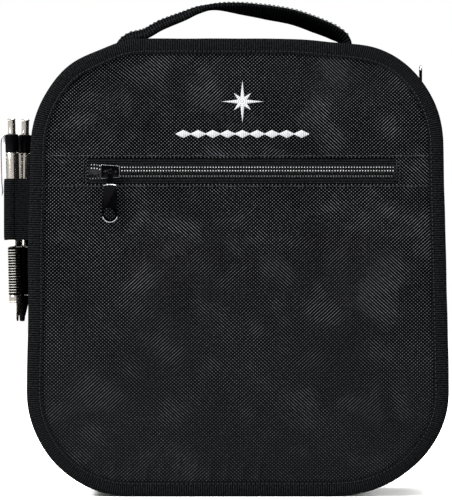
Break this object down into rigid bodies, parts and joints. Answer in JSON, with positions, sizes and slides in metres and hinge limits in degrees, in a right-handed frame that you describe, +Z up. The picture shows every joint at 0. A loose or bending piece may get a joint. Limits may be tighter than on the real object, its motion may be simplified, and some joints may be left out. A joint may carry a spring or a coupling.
{
  "type": "flight bag",
  "caption": "Upright padded flight bag with rounded corners, book-style zip opening, zipped front pocket, webbing handle and an elastic loop holding click pens.",
  "frame": {"origin": "middle of the flat underside, on the surface that the bag stands on", "axes": "+Z up, the pocket side faces -Y, +X to the right when the pocket side is looked at"},
  "size_m": [0.2949, 0.0875, 0.3252],
  "materials": {
    "canvas": "woven polyester canvas",
    "lining": "plain woven lining",
    "foam": "open cell foam",
    "board": "thin stiff sheet",
    "binding_tape": "ribbed grosgrain tape",
    "zip_tape": "woven zip tape",
    "webbing": "ribbed webbing",
    "elastic": "ribbed elastic",
    "thread": "satin embroidery thread",
    "nickel": "zip teeth, blackened nickel",
    "black_nickel": "glossy black nickel",
    "pen_metal": "polished aluminium",
    "pen_plastic": "moulded plastic",
    "spring_steel": "bright steel"
  },
  "bodies": {
    "shell": {"back_panel": "canvas", "back_foam": "foam", "back_stiffener": "board", "back_lining": "lining", "back_binding": "binding_tape", "rear_gusset": "canvas", "rear_gusset_foam": "foam", "rear_gusset_lining": "lining", "spine_shell_half": "canvas", "main_zip_tape_shell": "zip_tape", "main_zip_teeth_shell": "nickel", "main_zip_stop_left": "nickel", "main_zip_stop_right": "nickel", "handle_patch_left": "webbing", "handle_patch_right": "webbing", "pen_loop": "elastic"},
    "lid": {"front_panel_upper": "canvas", "pocket_face": "canvas", "pocket_zip_end_left": "canvas", "pocket_zip_end_right": "canvas", "pocket_zip_tape_upper": "zip_tape", "pocket_zip_tape_lower": "zip_tape", "pocket_zip_teeth_upper": "nickel", "pocket_zip_teeth_lower": "nickel", "pocket_back_wall": "lining", "front_foam": "foam", "front_lining": "lining", "front_binding": "binding_tape", "lid_gusset": "canvas", "lid_gusset_lining": "lining", "spine_lid_half": "canvas", "main_zip_tape_lid": "zip_tape", "main_zip_teeth_lid": "nickel", "embroidered_rose": "thread", "embroidered_row": "thread"},
    "pocket_slider": {"pocket_slider": "black_nickel"},
    "pocket_pull": {"pocket_pull": "black_nickel"},
    "main_slider_a": {"main_slider_a": "black_nickel"},
    "main_pull_a": {"main_pull_a": "black_nickel"},
    "main_slider_b": {"main_slider_b": "black_nickel"},
    "main_pull_b": {"main_pull_b": "black_nickel"},
    "handle": {"handle_strap": "webbing"},
    "pen_a": {"pen_a_nose_cone": "pen_metal", "pen_a_grip": "pen_plastic", "pen_a_barrel": "pen_metal", "pen_a_collar": "pen_plastic", "pen_a_clip": "pen_metal", "pen_a_spring": "spring_steel"},
    "pen_a_button": {"pen_a_push_button": "pen_plastic", "pen_a_refill": "spring_steel"},
    "pen_b": {"pen_b_nose_cone": "pen_metal", "pen_b_grip": "pen_plastic", "pen_b_barrel": "pen_metal", "pen_b_collar": "pen_plastic", "pen_b_clip": "pen_metal", "pen_b_spring": "spring_steel"},
    "pen_b_button": {"pen_b_push_button": "pen_plastic", "pen_b_refill": "spring_steel"}
  },
  "joints": [
    {"name": "lid_hinge", "type": "hinge", "parent": "shell", "child": "lid", "pos_m": [0, -0.02, 0], "axis": [1, 0, 0], "range_deg": [0, 165]},
    {"name": "pocket_slider_travel", "type": "slide", "parent": "lid", "child": "pocket_slider", "axis": [1, 0, 0], "range_m": [-0.006, 0.178]},
    {"name": "pocket_pull_swing", "type": "hinge", "parent": "pocket_slider", "child": "pocket_pull", "pos_m": [-0.083, -0.0455, 0.2115], "axis": [-1, 0, 0], "range_deg": [0, 165]},
    {"name": "main_slider_a_travel", "type": "hinge", "parent": "shell", "child": "main_slider_a", "pos_m": [0.064, -0.02, 0.2284], "axis": [0, 1, 0], "range_deg": [0, 24]},
    {"name": "main_pull_a_swing", "type": "hinge", "parent": "main_slider_a", "child": "main_pull_a", "pos_m": [0.1202, -0.02, 0.26243], "axis": [0, 1, 0], "range_deg": [-5, 140]},
    {"name": "main_slider_b_travel", "type": "hinge", "parent": "shell", "child": "main_slider_b", "pos_m": [0.064, -0.02, 0.2284], "axis": [0, -1, 0], "range_deg": [0, 38]},
    {"name": "main_pull_b_swing", "type": "hinge", "parent": "main_slider_b", "child": "main_pull_b", "pos_m": [0.11094, -0.02, 0.27437], "axis": [0, 1, 0], "range_deg": [0, 75]},
    {"name": "handle_swing", "type": "hinge", "parent": "shell", "child": "handle", "pos_m": [0, 0.012, 0.2922], "axis": [1, 0, 0], "range_deg": [-40, 40]},
    {"name": "pen_a_pull_out", "type": "slide", "parent": "shell", "child": "pen_a", "axis": [-0.0218, 0, 0.9998], "range_m": [0, 0.1]},
    {"name": "pen_a_click", "type": "slide", "parent": "pen_a", "child": "pen_a_button", "axis": [0.0218, 0, -0.9998], "range_m": [0, 0.004], "stiffness_N_per_m": 400, "deforming": ["pen_a_spring"]},
    {"name": "pen_b_pull_out", "type": "slide", "parent": "shell", "child": "pen_b", "axis": [0.0157, 0, 0.9999], "range_m": [0, 0.1]},
    {"name": "pen_b_click", "type": "slide", "parent": "pen_b", "child": "pen_b_button", "axis": [-0.0157, 0, -0.9999], "range_m": [0, 0.004], "stiffness_N_per_m": 400, "deforming": ["pen_b_spring"]}
  ]
}
